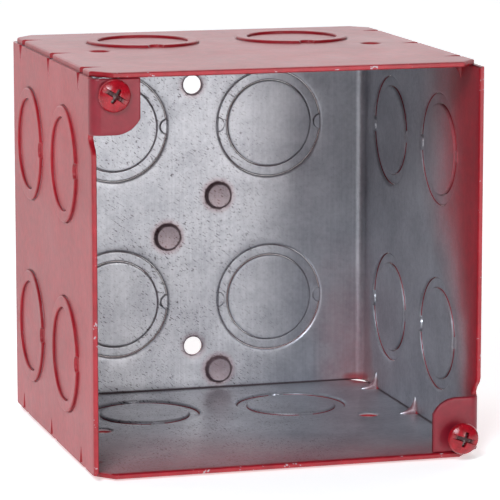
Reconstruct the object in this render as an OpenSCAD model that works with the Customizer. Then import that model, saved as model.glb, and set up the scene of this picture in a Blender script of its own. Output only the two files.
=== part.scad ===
// Square deep steel back box for fire alarm wiring: a folded wrap of back, bends, side walls and tabs,
// welded top and bottom plates, sixteen concentric knockouts and two cover screws.
// Origin: centre of the two fixing holes on the outer back face. +Z up, the open front faces -Y.

/* [Box] */
// Outside width of the square front
body_w = 119.06; // [110:0.01:160]
// Outside height of the square front
body_h = 119.06; // [110:0.01:160]
// Depth from the front rim to the outer back face
body_d = 112.7; // [108:0.1:160]
// Thickness of every sheet
sheet_t = 1.6; // [1.2:0.05:2.2]
// Outside radius of the two vertical back bends
back_bend_r = 6.5; // [4:0.1:8]

/* [Top and bottom plates] */
// How far a plate's side edge sits in from the wall's outer face
plate_side_inset = 1.0; // [0.5:0.05:1.1]
// How far a plate's back edge sits in from the outer back face
plate_back_inset = 0.4; // [0:0.05:1]
// Width of the cut corners, along the front
plate_cut_x = 5.6; // [3:0.1:8]
// Depth of the cut corners, along the side
plate_cut_y = 6.8; // [3:0.1:9]

/* [Seam crimps] */
// Number of crimps along each side seam
crimp_count = 3; // [2:1:3]
// Distance between neighbouring crimps
crimp_pitch = 39.75; // [20:0.05:42]
// Length of a crimp from the seam to its tip
crimp_len = 6.0; // [4:0.1:8]
// Half width of a crimp at the seam, which is also its depth
crimp_r = 2.2; // [1.6:0.05:2.6]

/* [Knockouts] */
// Diameter of the larger, outer knockout
ko_outer_d = 34.9; // [30:0.1:42]
// Diameter of the smaller, inner knockout
ko_inner_d = 28.2; // [20:0.1:30]
// How far the ring between the two cuts stands proud of the outside
ring_raise = 0.8; // [0.3:0.05:1.1]
// Width of the sheared gap around each piece
shear_gap = 0.1; // [0.05:0.01:0.2]
// Radius of the half-moon ties that hold a ring
ring_tie_r = 2.4; // [1.5:0.1:3]
// Width of the single tie that holds an inner disc
disc_tie_w = 1.8; // [1:0.1:3]
// Height between the upper and lower knockouts of the back and the walls
ko_pitch_z = 57.4; // [45:0.1:60]
// Distance between the left and right knockouts of the back
back_ko_pitch = 51.6; // [45:0.1:60]
// Distance between the front and rear knockouts of a side wall
side_ko_pitch = 47.0; // [44:0.1:50]
// Distance from the back face to the rear knockouts of a side wall
side_ko_rear = 29.3; // [27:0.1:34]
// Distance between the two knockouts of a plate
plate_ko_pitch = 48.2; // [44:0.1:54]
// Distance from the back face to the knockouts of a plate
plate_ko_rear = 32.2; // [27:0.1:40]

/* [Fixing holes] */
// Diameter of every fixing hole
fix_hole_d = 6.0; // [4:0.1:7.5]
// Distance between the two fixing holes of the back
back_hole_pitch = 85.7; // [78:0.1:90]
// How far the back's hole pattern sits below the middle of the box
back_hole_drop = 0.8; // [0:0.1:2]
// Distance between the two fixing holes of a plate
plate_hole_pitch = 86.2; // [80:0.1:94]
// Distance from the back face to the fixing holes of a plate
plate_hole_rear = 54.2; // [50:0.1:60]

/* [Back bosses] */
// Radius of the flat top of a boss
boss_r = 4.2; // [3:0.1:5]
// How far a boss stands into the box
boss_h = 2.0; // [1:0.1:3]
// Sideways distance of each boss from the middle
boss_x = 8.5; // [6:0.1:12]
// Height of the upper pair above and below the hole pattern's centre
boss_z = 6.5; // [5:0.1:12]
// Distance of the lowest boss below the hole pattern's centre
boss_low_z = 51.0; // [48:0.1:53]

/* [Cover tabs] */
// Distance from the wall's outer face to the free edge of a tab
tab_w = 14.7; // [13:0.1:18]
// Height of a tab
tab_h = 15.9; // [14:0.1:20]
// Gap between a tab's end and its plate
tab_end_gap = 0.6; // [0.2:0.1:1.5]
// How far the tab's face sits behind the front rim
tab_setback = 0.8; // [0:0.1:1.5]
// Outside radius of the bend between wall and tab
tab_bend_r = 3.2; // [2.4:0.1:4]
// Radius of the tab's rounded inner corner
tab_corner_r = 8.5; // [5:0.1:10]
// How much of that round the tab's free edge cuts off
tab_corner_trim = 0.9; // [0:0.1:2]
// Height of the relief cut under the bend
relief_h = 4.0; // [2:0.1:6]
// Height of the slope that leads back to the rim
relief_slope = 3.2; // [1:0.1:6]

/* [Cover screws] */
// Distance from the wall's outer face to a head's rim
head_wall_gap = 2.0; // [1.5:0.05:3]
// Gap between a head's rim and the underside of its plate
head_plate_gap = 0.15; // [0.1:0.05:1]
// Outside diameter of the thread
screw_d = 4.17; // [3.5:0.01:5]
// Length of the shank under the head
screw_len = 12.7; // [9:0.1:16]
// Diameter of the head
head_d = 9.53; // [8:0.01:11]
// Height of the head
head_h = 2.6; // [2:0.05:3.2]
// Height of the head's straight rim
head_rim_h = 0.7; // [0.3:0.05:1]
// Running clearance around a shank in its collar, on the radius
thread_clear = 0.05; // [0.02:0.01:0.1]
// Wall of the drawn collar behind each tab
collar_wall = 1.2; // [0.8:0.1:1.6]
// Length of that collar behind the tab
collar_h = 1.4; // [0.5:0.1:3]
// Gap under the upper screw's head
upper_proud = 1.0; // [0.2:0.1:8]
// Gap under the lower screw's head
lower_proud = 4.0; // [0.2:0.1:8]
// Width of the straight slot in a head
slot_w = 1.1; // [0.8:0.05:1.5]
// Depth of the straight slot
slot_depth = 1.2; // [0.6:0.05:1.4]
// Width across one cross recess wing
cross_w = 1.3; // [0.8:0.05:1.6]
// Length across two opposite wings
cross_len = 4.6; // [3:0.1:5.5]
// Depth of the cross recess
cross_depth = 1.5; // [1:0.05:1.6]
// Turn of the upper slot from level, clockwise from the front
upper_slot_turn = 32; // [0:1:90]
// Turn of the lower slot from level, clockwise from the front
lower_slot_turn = 18; // [0:1:90]
// Radius of the spigot that centres a head on its shank
spigot_r = 1.2; // [0.8:0.05:1.4]
// Length of that spigot
spigot_h = 0.7; // [0.4:0.05:0.8]
// Running clearance between head and shank
head_clear = 0.04; // [0.02:0.01:0.1]

/* [Hidden] */
$fn = 96;
eps = 0.01;
big = 400;

z_mid = back_hole_drop;
z_top = z_mid + body_h / 2;
z_low = z_mid - body_h / 2;
y_front = -body_d;
wall_x = body_w / 2;
y_tab = y_front + tab_setback;
tab_top = body_h / 2 - sheet_t - tab_end_gap;
tab_low = tab_top - tab_h;
tab_edge = -wall_x + tab_w;
screw_x = head_wall_gap + head_d / 2;
screw_z = sheet_t + head_plate_gap + head_d / 2;
bore_r = screw_d / 2 + thread_clear;
ko_outer_r = ko_outer_d / 2;
ko_inner_r = ko_inner_d / 2;
dome_r = (pow(head_d / 2, 2) + pow(head_h - head_rim_h, 2)) / (2 * (head_h - head_rim_h));

PAINT = "firebrick";
ZINC = "indianred";
SCREW = "crimson";

// Corner names of a face, each with its side (-1 or 1) and height (-1 or 1).
BACK_SPOTS = [["upper_left", -1, 1], ["upper_right", 1, 1], ["lower_left", -1, -1], ["lower_right", 1, -1]];
// Places on a side wall, each with its row (0 front, 1 rear) and height (-1 or 1).
WALL_SPOTS = [["upper_front", 0, 1], ["upper_rear", 1, 1], ["lower_front", 0, -1], ["lower_rear", 1, -1]];
// Places on a plate, each with its side.
PLATE_SPOTS = [["left", -1], ["right", 1]];
WALLS = [["left", -1], ["right", 1]];
PLATES = [["top", 1], ["bottom", -1]];

BACK_KOS = [for (s = BACK_SPOTS) str("back_", s[0])];
WALL_KOS = [for (w = WALLS, s = WALL_SPOTS) str(w[0], "_wall_", s[0])];
PLATE_KOS = [for (p = PLATES, s = PLATE_SPOTS) str(p[0], "_", s[0])];
KOS = concat(BACK_KOS, WALL_KOS, PLATE_KOS);

// ---- places -------------------------------------------------------------

// Puts a child, drawn with +Z outwards from the inner face, on the back wall.
module on_back(side, up) {
    translate([side * back_ko_pitch / 2, -sheet_t, z_mid + up * ko_pitch_z / 2])
        rotate([-90, 0, 0]) rotate([0, 0, side > 0 ? 0 : 180]) children();
}

// Puts a child, drawn with +Z outwards from the inner face, on a side wall.
module on_wall(side, row, up) {
    translate([side * (wall_x - sheet_t), -side_ko_rear - (1 - row) * side_ko_pitch, z_mid + up * ko_pitch_z / 2])
        rotate([0, side * 90, 0]) rotate([0, 0, 90]) children();
}

// Puts a child, drawn with +Z outwards from the inner face, on the top or bottom plate.
module on_plate(up, side) {
    translate([side * plate_ko_pitch / 2, -plate_ko_rear, z_mid + up * (body_h / 2 - sheet_t)])
        rotate([up > 0 ? 0 : 180, 0, 0]) rotate([0, 0, up * 90]) children();
}

// Draws its child on the spot that a knockout's name gives.
module at_knockout(name) {
    for (s = BACK_SPOTS) if (str("back_", s[0]) == name) on_back(s[1], s[2]) children();
    for (w = WALLS, s = WALL_SPOTS) if (str(w[0], "_wall_", s[0]) == name) on_wall(w[1], s[1], s[2]) children();
    for (p = PLATES, s = PLATE_SPOTS) if (str(p[0], "_", s[0]) == name) on_plate(p[1], s[1]) children();
}

// Turns a child of the upper left corner about the box's middle; its heights count from that middle.
module at_corner(turn) {
    translate([0, 0, z_mid]) rotate([0, turn, 0]) children();
}

// Draws a child at each crimp of the four side seams, in the frame of the seam's inner corner:
// X points into the box along the plate and Z out of it along the wall.
module at_crimps(up, sides = [-1, 1]) {
    for (side = sides, i = [0 : crimp_count - 1])
        translate([side * (wall_x - sheet_t), -body_d / 2 + (i - (crimp_count - 1) / 2) * crimp_pitch,
                   z_mid + up * (body_h / 2 - sheet_t)])
            mirror([side > 0 ? 1 : 0, 0, 0]) mirror([0, 0, up > 0 ? 0 : 1]) children();
}

// ---- seam crimps --------------------------------------------------------

// A cone along -Z: full radius at the seam, a point at the crimp's tip, carried on past the seam.
module crimp_cone(past = 0) {
    translate([0, 0, -crimp_len])
        cylinder(h = crimp_len + past, r1 = 0, r2 = crimp_r * (crimp_len + past) / crimp_len);
}

// The material that a crimp pushes inwards from a wall, mitred where it meets the plate's.
module wall_crimp_bulge() {
    intersection() {
        crimp_cone();
        rotate([0, 45, 0]) translate([-big / 2, -big / 2, -big]) cube(big);
    }
}

// The hollow that a crimp leaves in a wall's outer face.
module wall_crimp_hollow() {
    translate([-sheet_t, 0, 0]) crimp_cone(1);
}

// Swaps the wall's and the plate's directions in the seam's frame.
module swap_wall_and_plate() {
    rotate([0, -90, 0]) mirror([1, 0, 0]) children();
}

// ---- wrap ---------------------------------------------------------------

// Plan of a block with rounded back corners, open-ended at the front.
module rounded_plan(w, back, r) {
    translate([-w / 2, y_front]) square([w, body_d + back - r]);
    translate([-w / 2 + r, back - r]) square([w - 2 * r, r]);
    for (side = [-1, 1]) translate([side * (w / 2 - r), back - r]) circle(r);
}

// Plan of the folded sheet: left wall, back and right wall.
module wrap_plan() {
    difference() {
        rounded_plan(body_w, 0, back_bend_r);
        translate([0, -2 * eps]) rounded_plan(body_w - 2 * sheet_t, -sheet_t + 2 * eps, back_bend_r - sheet_t);
        translate([-(body_w - 2 * sheet_t) / 2, y_front - 1]) square([body_w - 2 * sheet_t, 2]);
    }
}

// Plan of the upper left tab: its bend and its flat.
module tab_plan() {
    difference() {
        intersection() {
            translate([-wall_x + tab_bend_r, y_tab + tab_bend_r]) circle(tab_bend_r);
            translate([-wall_x, y_tab]) square(tab_bend_r);
        }
        translate([-wall_x + tab_bend_r, y_tab + tab_bend_r]) circle(tab_bend_r - sheet_t);
    }
    translate([-wall_x + tab_bend_r, y_tab]) square([tab_w - tab_bend_r, sheet_t]);
}

// The upper left tab with its collar, in heights from the middle of the box.
module cover_tab() {
    corner_x = tab_edge - tab_corner_r + tab_corner_trim;
    difference() {
        translate([0, 0, tab_low]) linear_extrude(tab_h) tab_plan();
        difference() {
            translate([corner_x, y_tab - 1, tab_low - 1]) cube([tab_corner_r + 1, sheet_t + 2, tab_corner_r + 1]);
            translate([corner_x, y_tab - 2, tab_low + tab_corner_r]) rotate([-90, 0, 0])
                cylinder(h = sheet_t + 4, r = tab_corner_r);
        }
    }
    translate([-wall_x + screw_x, y_tab + sheet_t - eps, body_h / 2 - screw_z]) rotate([-90, 0, 0])
        cylinder(h = collar_h + eps, r = bore_r + collar_wall);
}

// What the upper left tab's bend and relief take out of the wall's front.
module wall_front_cut() {
    cut_y = tab_setback + tab_bend_r;
    translate([-wall_x - 1, 0, 0]) rotate([90, 0, 90]) linear_extrude(sheet_t + 2) polygon([
        [y_front - 1, body_h / 2], [y_front + cut_y, body_h / 2], [y_front + cut_y, tab_low - relief_h],
        [y_front, tab_low - relief_h - relief_slope], [y_front - 1, tab_low - relief_h - relief_slope]
    ]);
}

module screw_bore() {
    translate([-wall_x + screw_x, y_tab - 1, body_h / 2 - screw_z]) rotate([-90, 0, 0])
        cylinder(h = sheet_t + collar_h + 2, r = bore_r);
}

// Heights and sideways places of the bosses, from the hole pattern's centre.
BOSSES = [[boss_x, boss_z], [-boss_x, -boss_z], [boss_x, -boss_low_z]];

module boss_out() {
    cylinder(h = boss_h + eps, r1 = boss_r + 0.6, r2 = boss_r);
}

module boss_hollow() {
    cylinder(h = boss_h + 1, r1 = boss_r - 1.0, r2 = boss_r - 1.6);
}

// Extrudes a plan over the height between the two plates.
module between_plates() {
    translate([0, 0, z_low + sheet_t]) linear_extrude(body_h - 2 * sheet_t) children();
}

module fixing_bore() {
    cylinder(h = 3 * sheet_t + 2, r = fix_hole_d / 2);
}

// The flat back between its two bends, with its bosses, knockout holes and fixing holes.
module back_panel() color(PAINT) {
    difference() {
        union() {
            between_plates() intersection() {
                wrap_plan();
                translate([-wall_x + back_bend_r, -back_bend_r]) square([body_w - 2 * back_bend_r, 2 * back_bend_r]);
            }
            for (b = BOSSES) translate([b[0], -sheet_t + eps, b[1]]) rotate([90, 0, 0]) boss_out();
        }
        for (k = BACK_KOS) at_knockout(k) knockout_hole();
        for (b = BOSSES) translate([b[0], 1, b[1]]) rotate([90, 0, 0]) boss_hollow();
        for (up = [-1, 1]) translate([0, -2 * sheet_t - 1, up * back_hole_pitch / 2]) rotate([-90, 0, 0]) fixing_bore();
    }
}

// One of the two vertical bends between the back and a side wall.
module rear_bend(side) color(PAINT) {
    between_plates() intersection() {
        wrap_plan();
        translate([side > 0 ? wall_x - back_bend_r : -wall_x, -back_bend_r]) square(back_bend_r);
    }
}

module left_rear_bend() rear_bend(-1);

module right_rear_bend() rear_bend(1);

// One side wall, cut back at the front where its tab folds in.
module side_wall(name, side) color(PAINT) {
    difference() {
        union() {
            difference() {
                between_plates() intersection() {
                    wrap_plan();
                    translate([side > 0 ? 0 : -wall_x, y_front]) square([wall_x, body_d - back_bend_r]);
                }
                at_corner(side < 0 ? 0 : 180) wall_front_cut();
            }
            for (up = [-1, 1]) at_crimps(up, [side]) wall_crimp_bulge();
        }
        for (up = [-1, 1]) at_crimps(up, [side]) wall_crimp_hollow();
        for (s = WALL_SPOTS) at_knockout(str(name, "_wall_", s[0])) knockout_hole();
    }
}

module left_side_wall() side_wall("left", -1);

module right_side_wall() side_wall("right", 1);

// A folded tab with its bend, its drawn collar and the screw's bore.
module bored_tab(turn) color(PAINT) at_corner(turn) {
    difference() {
        cover_tab();
        screw_bore();
    }
}

module upper_left_tab() bored_tab(0);

module lower_right_tab() bored_tab(180);

// ---- plates -------------------------------------------------------------

module plate_plan() {
    half = wall_x - plate_side_inset;
    back = -plate_back_inset;
    polygon([
        [-half, y_front + plate_cut_y], [-half + plate_cut_x, y_front],
        [half - plate_cut_x, y_front], [half, y_front + plate_cut_y],
        [half, back - plate_cut_y], [half - plate_cut_x, back],
        [-half + plate_cut_x, back], [-half, back - plate_cut_y]
    ]);
}

// The top plate for up = 1, the bottom plate for up = -1.
module end_plate(name, up) {
    inner = z_mid + up * (body_h / 2 - sheet_t);
    difference() {
        union() {
            translate([0, 0, min(inner, inner + up * sheet_t)]) linear_extrude(sheet_t) plate_plan();
            at_crimps(up) swap_wall_and_plate() wall_crimp_bulge();
        }
        at_crimps(up) swap_wall_and_plate() wall_crimp_hollow();
        for (s = PLATE_SPOTS) at_knockout(str(name, "_", s[0])) knockout_hole();
        for (side = [-1, 1]) translate([side * plate_hole_pitch / 2, -plate_hole_rear, inner - 1.5 * sheet_t - 1])
            fixing_bore();
    }
}

module top_plate() color(PAINT) end_plate("top", 1);

module bottom_plate() color(PAINT) end_plate("bottom", -1);

// ---- knockouts ----------------------------------------------------------

module knockout_hole() {
    translate([0, 0, -1]) cylinder(h = sheet_t + 2, r = ko_outer_r);
}

// One half-moon tie, on the +X or -X end of the ring.
module ring_tie(side, z, h) {
    translate([side * ko_outer_r, 0, z]) cylinder(h = h, r = ring_tie_r);
}

// The raised ring, held by two half-moon ties that stay level with the wall.
module knockout_ring(name) color(PAINT) at_knockout(name) {
    difference() {
        translate([0, 0, ring_raise]) cylinder(h = sheet_t, r = ko_outer_r - shear_gap);
        translate([0, 0, ring_raise - 1]) cylinder(h = sheet_t + 2, r = ko_inner_r);
        for (side = [-1, 1]) ring_tie(side, sheet_t, ring_raise + 1);
    }
    intersection() {
        cylinder(h = sheet_t, r = ko_outer_r);
        for (side = [-1, 1]) ring_tie(side, 0, sheet_t);
    }
}

// The inner disc, level with the wall and held to its ring by one narrow tie.
module knockout_disc(name) color(ZINC) at_knockout(name) {
    cylinder(h = sheet_t, r = ko_inner_r - shear_gap);
    intersection() {
        translate([0, 0, ring_raise]) cylinder(h = sheet_t - ring_raise, r = ko_inner_r);
        translate([ko_inner_r - 1, -disc_tie_w / 2, ring_raise]) cube([2, disc_tie_w, sheet_t - ring_raise]);
    }
}

// ---- cover screws -------------------------------------------------------

// Puts a screw, drawn with +Z out of the front from its head's seat, in its corner.
module at_screw(turn, proud) {
    at_corner(turn) translate([-wall_x + screw_x, y_tab - proud, body_h / 2 - screw_z])
        rotate([90, 0, 0]) children();
}

// The threaded shank, drawn at its outside diameter, with the spigot that carries the head.
module screw_shank() color(SCREW) {
    translate([0, 0, -screw_len]) cylinder(h = screw_len - head_clear, r = screw_d / 2);
    translate([0, 0, -head_clear - eps]) cylinder(h = spigot_h + head_clear + eps, r = spigot_r);
}

// The domed head with its straight slot and cross recess.
module screw_head(slot_turn) color(SCREW) {
    difference() {
        union() {
            cylinder(h = head_rim_h, r = head_d / 2);
            intersection() {
                translate([0, 0, head_rim_h - eps]) cylinder(h = head_h, r = head_d / 2);
                translate([0, 0, head_h - dome_r]) sphere(dome_r);
            }
        }
        translate([0, 0, -1]) cylinder(h = spigot_h + head_clear + 1, r = spigot_r + head_clear);
        rotate([0, 0, -slot_turn]) {
            translate([-head_d / 2 - 1, -slot_w / 2, head_h - slot_depth]) cube([head_d + 2, slot_w, head_h]);
            for (turn = [0, 90]) rotate([0, 0, turn])
                translate([-cross_len / 2, -cross_w / 2, head_h - cross_depth]) cube([cross_len, cross_w, head_h]);
        }
    }
}

module upper_screw_shank() at_screw(0, upper_proud) screw_shank();

module upper_screw_head() at_screw(0, upper_proud) screw_head(upper_slot_turn);

module lower_screw_shank() at_screw(180, lower_proud) screw_shank();

module lower_screw_head() at_screw(180, lower_proud) screw_head(180 + lower_slot_turn);

// ---- nodes --------------------------------------------------------------

back_panel();
left_rear_bend();
right_rear_bend();
left_side_wall();
right_side_wall();
upper_left_tab();
lower_right_tab();
top_plate();
bottom_plate();
for (k = KOS) {
    knockout_ring(k);
    knockout_disc(k);
}
upper_screw_shank();
upper_screw_head();
lower_screw_shank();
lower_screw_head();
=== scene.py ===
"""Looks of a square, deep fire alarm wiring box: sprayed red outside, bare zinc-coated steel inside.

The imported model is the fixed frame. Every sheet, knockout and screw is a surface worked out here in
millimetres, turned into a mesh in metres in the frame's own place, and dressed with a worked finish.
"""

import logging
import math
from collections.abc import Callable
from dataclasses import dataclass
from enum import Enum

import bpy
import numpy as np
from mathutils import Matrix, Vector
from mathutils.geometry import delaunay_2d_cdt


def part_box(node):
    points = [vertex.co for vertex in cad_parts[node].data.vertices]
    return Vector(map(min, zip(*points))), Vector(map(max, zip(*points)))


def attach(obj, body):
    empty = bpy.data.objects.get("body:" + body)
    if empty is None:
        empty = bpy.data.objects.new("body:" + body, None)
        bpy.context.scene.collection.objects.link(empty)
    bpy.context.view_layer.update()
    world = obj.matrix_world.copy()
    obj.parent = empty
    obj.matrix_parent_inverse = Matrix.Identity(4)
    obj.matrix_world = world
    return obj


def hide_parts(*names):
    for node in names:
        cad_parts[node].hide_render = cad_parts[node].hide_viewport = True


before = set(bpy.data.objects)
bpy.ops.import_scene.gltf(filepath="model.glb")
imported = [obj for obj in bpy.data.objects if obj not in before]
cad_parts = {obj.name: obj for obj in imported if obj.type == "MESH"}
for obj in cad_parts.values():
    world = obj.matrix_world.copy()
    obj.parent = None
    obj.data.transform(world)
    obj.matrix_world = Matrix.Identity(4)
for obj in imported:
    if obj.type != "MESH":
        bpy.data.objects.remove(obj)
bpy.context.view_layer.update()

MM = 0.001
LOG = logging.getLogger("wiring_box")


class Body(Enum):
    """The frame's moving bodies."""

    BOX = "box"
    UPPER_SHANK = "upper_shank"
    UPPER_HEAD = "upper_head"
    LOWER_SHANK = "lower_shank"
    LOWER_HEAD = "lower_head"


class Slot(Enum):
    """The record's material slots."""

    SHEET = "red_sheet"
    KNOCKOUT = "knockout_sheet"
    SCREW = "screw_paint"
    THREAD = "screw_thread"


class Corner(Enum):
    """The two corners that carry a tab and a screw."""

    UPPER_LEFT = "upper"
    LOWER_RIGHT = "lower"


class Coat(Enum):
    """Which finish a piece wears."""

    BACK = "back"
    LEFT = "left"
    RIGHT = "right"
    TAB = "tab"
    TOP = "top"
    BOTTOM = "bottom"
    SCREW = "screw"
    THREAD = "thread"


Finishes = dict[Coat, bpy.types.Material]


# ---- sizes, in millimetres ------------------------------------------------


@dataclass(frozen=True)
class BoxSizes:
    """The folded box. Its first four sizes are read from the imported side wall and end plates."""

    wall_x: float
    middle_z: float
    front_y: float
    half_z: float
    sheet: float = 1.6
    back_bend: float = 6.5
    inner_bend: float = 2.9
    plate_inset: float = 1.0
    plate_back: float = 0.4
    cut_x: float = 5.6
    cut_y: float = 6.8
    crimp_len: float = 5.6
    crimp_r: float = 1.8
    crimps: tuple[float, ...] = (-39.75, 0.0, 39.75)
    fixing_r: float = 3.0
    fixing_gap: float = 85.7
    plate_fixing: tuple[float, float] = (86.2, 54.2)

    @property
    def depth(self) -> float:
        """Front rim to outer back face."""
        return -self.front_y

    @property
    def inner_x(self) -> float:
        """Half the clear width inside."""
        return self.wall_x - self.sheet


@dataclass(frozen=True)
class TabSizes:
    """A folded cover tab, its relief and its drawn collar."""

    width: float = 14.7
    height: float = 16.35
    end_gap: float = 0.15
    setback: float = 0.8
    bend: float = 3.2
    corner: float = 8.5
    trim: float = 0.9
    relief: float = 0.9
    slope: float = 4.8
    bore_r: float = 2.135
    collar_wall: float = 1.2
    collar_h: float = 1.4
    screw_in: float = 6.765
    screw_down: float = 6.515


@dataclass(frozen=True)
class KnockoutSizes:
    """A concentric knockout: an outer ring that stands proud and an inner disc."""

    outer_r: float = 17.45
    inner_r: float = 14.1
    raised: float = 0.8
    gap: float = 0.1
    tie_r: float = 2.4
    disc_tie: float = 1.8


@dataclass(frozen=True)
class ScrewSizes:
    """A combination slot and cross cover screw."""

    shank_d: float = 4.17
    shank_len: float = 12.7
    head_d: float = 9.53
    head_h: float = 2.6
    rim_h: float = 0.7
    slot_w: float = 1.25
    slot_depth: float = 1.3
    cross_w: float = 1.35
    cross_len: float = 4.6
    cross_depth: float = 1.5
    pitch: float = 0.79375


# ---- shells ---------------------------------------------------------------


def smooth_step(low: float, high: float, value: np.ndarray) -> np.ndarray:
    """Rises from 0 at low to 1 at high along 3t^2 - 2t^3.

    Args:
        low: Where the rise starts.
        high: Where it ends.
        value: The values to map.

    Returns:
        The mapped values.
    """
    t = np.clip((value - low) / (high - low), 0.0, 1.0)
    return t * t * (3.0 - 2.0 * t)


@dataclass
class Shell:
    """A closed skin in millimetres. skin is 0 on a sheet's inner face and 1 on its outer face."""

    verts: np.ndarray
    faces: list[np.ndarray]
    skin: np.ndarray

    def moved(self, turn: np.ndarray, shift: tuple[float, float, float]) -> "Shell":
        """Turns the vertices by a matrix, then shifts them.

        Args:
            turn: A rotation matrix, 3 by 3.
            shift: The shift after it.

        Returns:
            The moved shell.
        """
        return Shell(self.verts @ turn.T + np.array(shift), self.faces, self.skin)

    def joined(self, other: "Shell") -> "Shell":
        """Both shells as one mesh.

        Args:
            other: The shell whose faces come after this one's.

        Returns:
            The joined shell.
        """
        faces = self.faces + [f + len(self.verts) for f in other.faces]
        skin = np.concatenate([self.skin, other.skin])
        return Shell(np.vstack([self.verts, other.verts]), faces, skin)

    def piece(self, name: str, crease: float = 32.0) -> bpy.types.Object:
        """Makes the Blender object, smooth except along edges sharper than the crease angle.

        Args:
            name: The piece's name.
            crease: The angle in degrees.

        Returns:
            The object, linked to the scene.
        """
        sizes = np.concatenate([np.full(len(f), f.shape[1], np.int32) for f in self.faces])
        corners = np.concatenate([f.ravel() for f in self.faces]).astype(np.int32)
        mesh = bpy.data.meshes.new(name)
        mesh.vertices.add(len(self.verts))
        mesh.vertices.foreach_set("co", (self.verts * MM).astype(np.float32).ravel())
        mesh.loops.add(len(corners))
        mesh.loops.foreach_set("vertex_index", corners)
        mesh.polygons.add(len(sizes))
        starts = np.concatenate([[0], np.cumsum(sizes)[:-1]]).astype(np.int32)
        mesh.polygons.foreach_set("loop_start", starts)
        mesh.polygons.foreach_set("loop_total", sizes)
        mesh.update(calc_edges=True)
        skin = mesh.attributes.new("skin", "FLOAT", "POINT")
        skin.data.foreach_set("value", self.skin.astype(np.float32))
        mesh.polygons.foreach_set("use_smooth", np.ones(len(mesh.polygons), bool))
        mesh.set_sharp_from_angle(angle=math.radians(crease))
        piece = bpy.data.objects.new(name, mesh)
        bpy.context.scene.collection.objects.link(piece)
        return piece


@dataclass
class Plan:
    """A flat rectangle with round holes, filled with triangles that follow its guide lines.

    Coordinates are (across, along). A hole is (across, along, radius, points). A guide is a polyline
    that triangles don't cross. free names the sides that end in an edge, W, E, S and N. The sheet
    rolls over by up to roll_depth within roll of each free side and hole.
    """

    low: tuple[float, float]
    high: tuple[float, float]
    holes: list[tuple[float, float, float, int]]
    guides: list[np.ndarray]
    free: str = "WESN"
    step: float = 3.5
    edge_step: float = 1.6
    roll: float = 0.75
    roll_depth: float = 0.34
    roll_rows: tuple[float, ...] = (0.3, 0.62, 1.0)
    hole_margin: float = 1.4
    least_area: float = 1e-7

    def _ring(self, x: float, y: float, r: float, count: int) -> np.ndarray:
        """Points round a circle, closed: the centre plus r times (cos a, sin a)."""
        a = np.linspace(0, 2 * math.pi, count + 1)
        return np.column_stack([x + r * np.cos(a), y + r * np.sin(a)])

    def _side(self, name: str, inset: float) -> np.ndarray:
        """Evenly spaced points along one side, or along a line inset from it.

        Args:
            name: The side, one of W, E, S and N.
            inset: How far in the line lies.

        Returns:
            The points, n by 2.
        """
        (x0, y0), (x1, y1) = self.low, self.high
        upright = name in "WE"
        length = (y1 - y0) if upright else (x1 - x0)
        share = np.linspace(0, 1, int(math.ceil(length / self.edge_step)) + 1)
        level = {"W": x0 + inset, "E": x1 - inset, "S": y0 + inset, "N": y1 - inset}[name]
        fixed = np.full_like(share, level)
        if upright:
            return np.column_stack([fixed, y0 + share * (y1 - y0)])
        return np.column_stack([x0 + share * (x1 - x0), fixed])

    def rolled(self, points: np.ndarray, sides: str) -> np.ndarray:
        """How deep the skin rolls over at the holes and the named sides.

        The depth is roll_depth times (1 - d / roll)^2 at d from the nearest of those edges.

        Args:
            points: The points, n by 2.
            sides: The sides that count, of W, E, S and N.

        Returns:
            The depth at each point.
        """
        (x0, y0), (x1, y1) = self.low, self.high
        x, y = points.T
        inset = {"W": x - x0, "E": x1 - x, "S": y - y0, "N": y1 - y}
        gaps = [np.hypot(x - cx, y - cy) - r for cx, cy, r, _ in self.holes]
        gaps += [inset[side] for side in sides]
        return self.roll_depth * np.clip(1 - np.min(gaps, 0) / self.roll, 0, 1) ** 2

    def fill(self) -> tuple[np.ndarray, np.ndarray]:
        """Triangulates the plan.

        Returns:
            The points, n by 2, and the triangles, m by 3, anticlockwise.
        """
        insets = [self.roll * share for share in self.roll_rows]
        lines = [self._side(name, 0.0) for name in "WESN"] + self.guides
        lines += [self._side(name, inset) for name in self.free for inset in insets]
        for x, y, r, count in self.holes:
            lines += [self._ring(x, y, r + inset, count) for inset in (0.0, *insets)]
        xs = np.arange(self.low[0] + self.step, self.high[0] - self.step / 2, self.step)
        ys = np.arange(self.low[1] + self.step, self.high[1] - self.step / 2, self.step)
        inner = np.stack(np.meshgrid(xs, ys), -1).reshape(-1, 2)
        for x, y, r, _ in self.holes:
            inner = inner[np.hypot(inner[:, 0] - x, inner[:, 1] - y) > r + self.hole_margin]
        points = np.vstack([*lines, inner])
        sizes = np.array([len(line) for line in lines])
        ends = np.cumsum(sizes)
        first = np.setdiff1d(np.arange(ends[-1]), ends - 1)
        edges = np.column_stack([first, first + 1])
        spots = [Vector(point) for point in points.tolist()]
        found = delaunay_2d_cdt(spots, edges.tolist(), [], 1, 1e-4, False)
        flat = np.array([tuple(v) for v in found[0]])
        tris = np.array(found[2])
        middle = flat[tris].mean(1)
        keep = np.ones(len(tris), bool)
        for x, y, r, _ in self.holes:
            keep &= np.hypot(middle[:, 0] - x, middle[:, 1] - y) > r * 0.999
        tris = tris[keep]
        a, b, c = flat[tris[:, 0]], flat[tris[:, 1]], flat[tris[:, 2]]
        area = (b[:, 0] - a[:, 0]) * (c[:, 1] - a[:, 1]) - (b[:, 1] - a[:, 1]) * (c[:, 0] - a[:, 0])
        real = np.abs(area) > self.least_area
        tris, area = tris[real], area[real]
        tris[area < 0] = tris[area < 0][:, ::-1]
        used, tris = np.unique(tris, return_inverse=True)
        return flat[used], tris.reshape(-1, 3)


Placer = Callable[[np.ndarray, float], np.ndarray]


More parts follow.
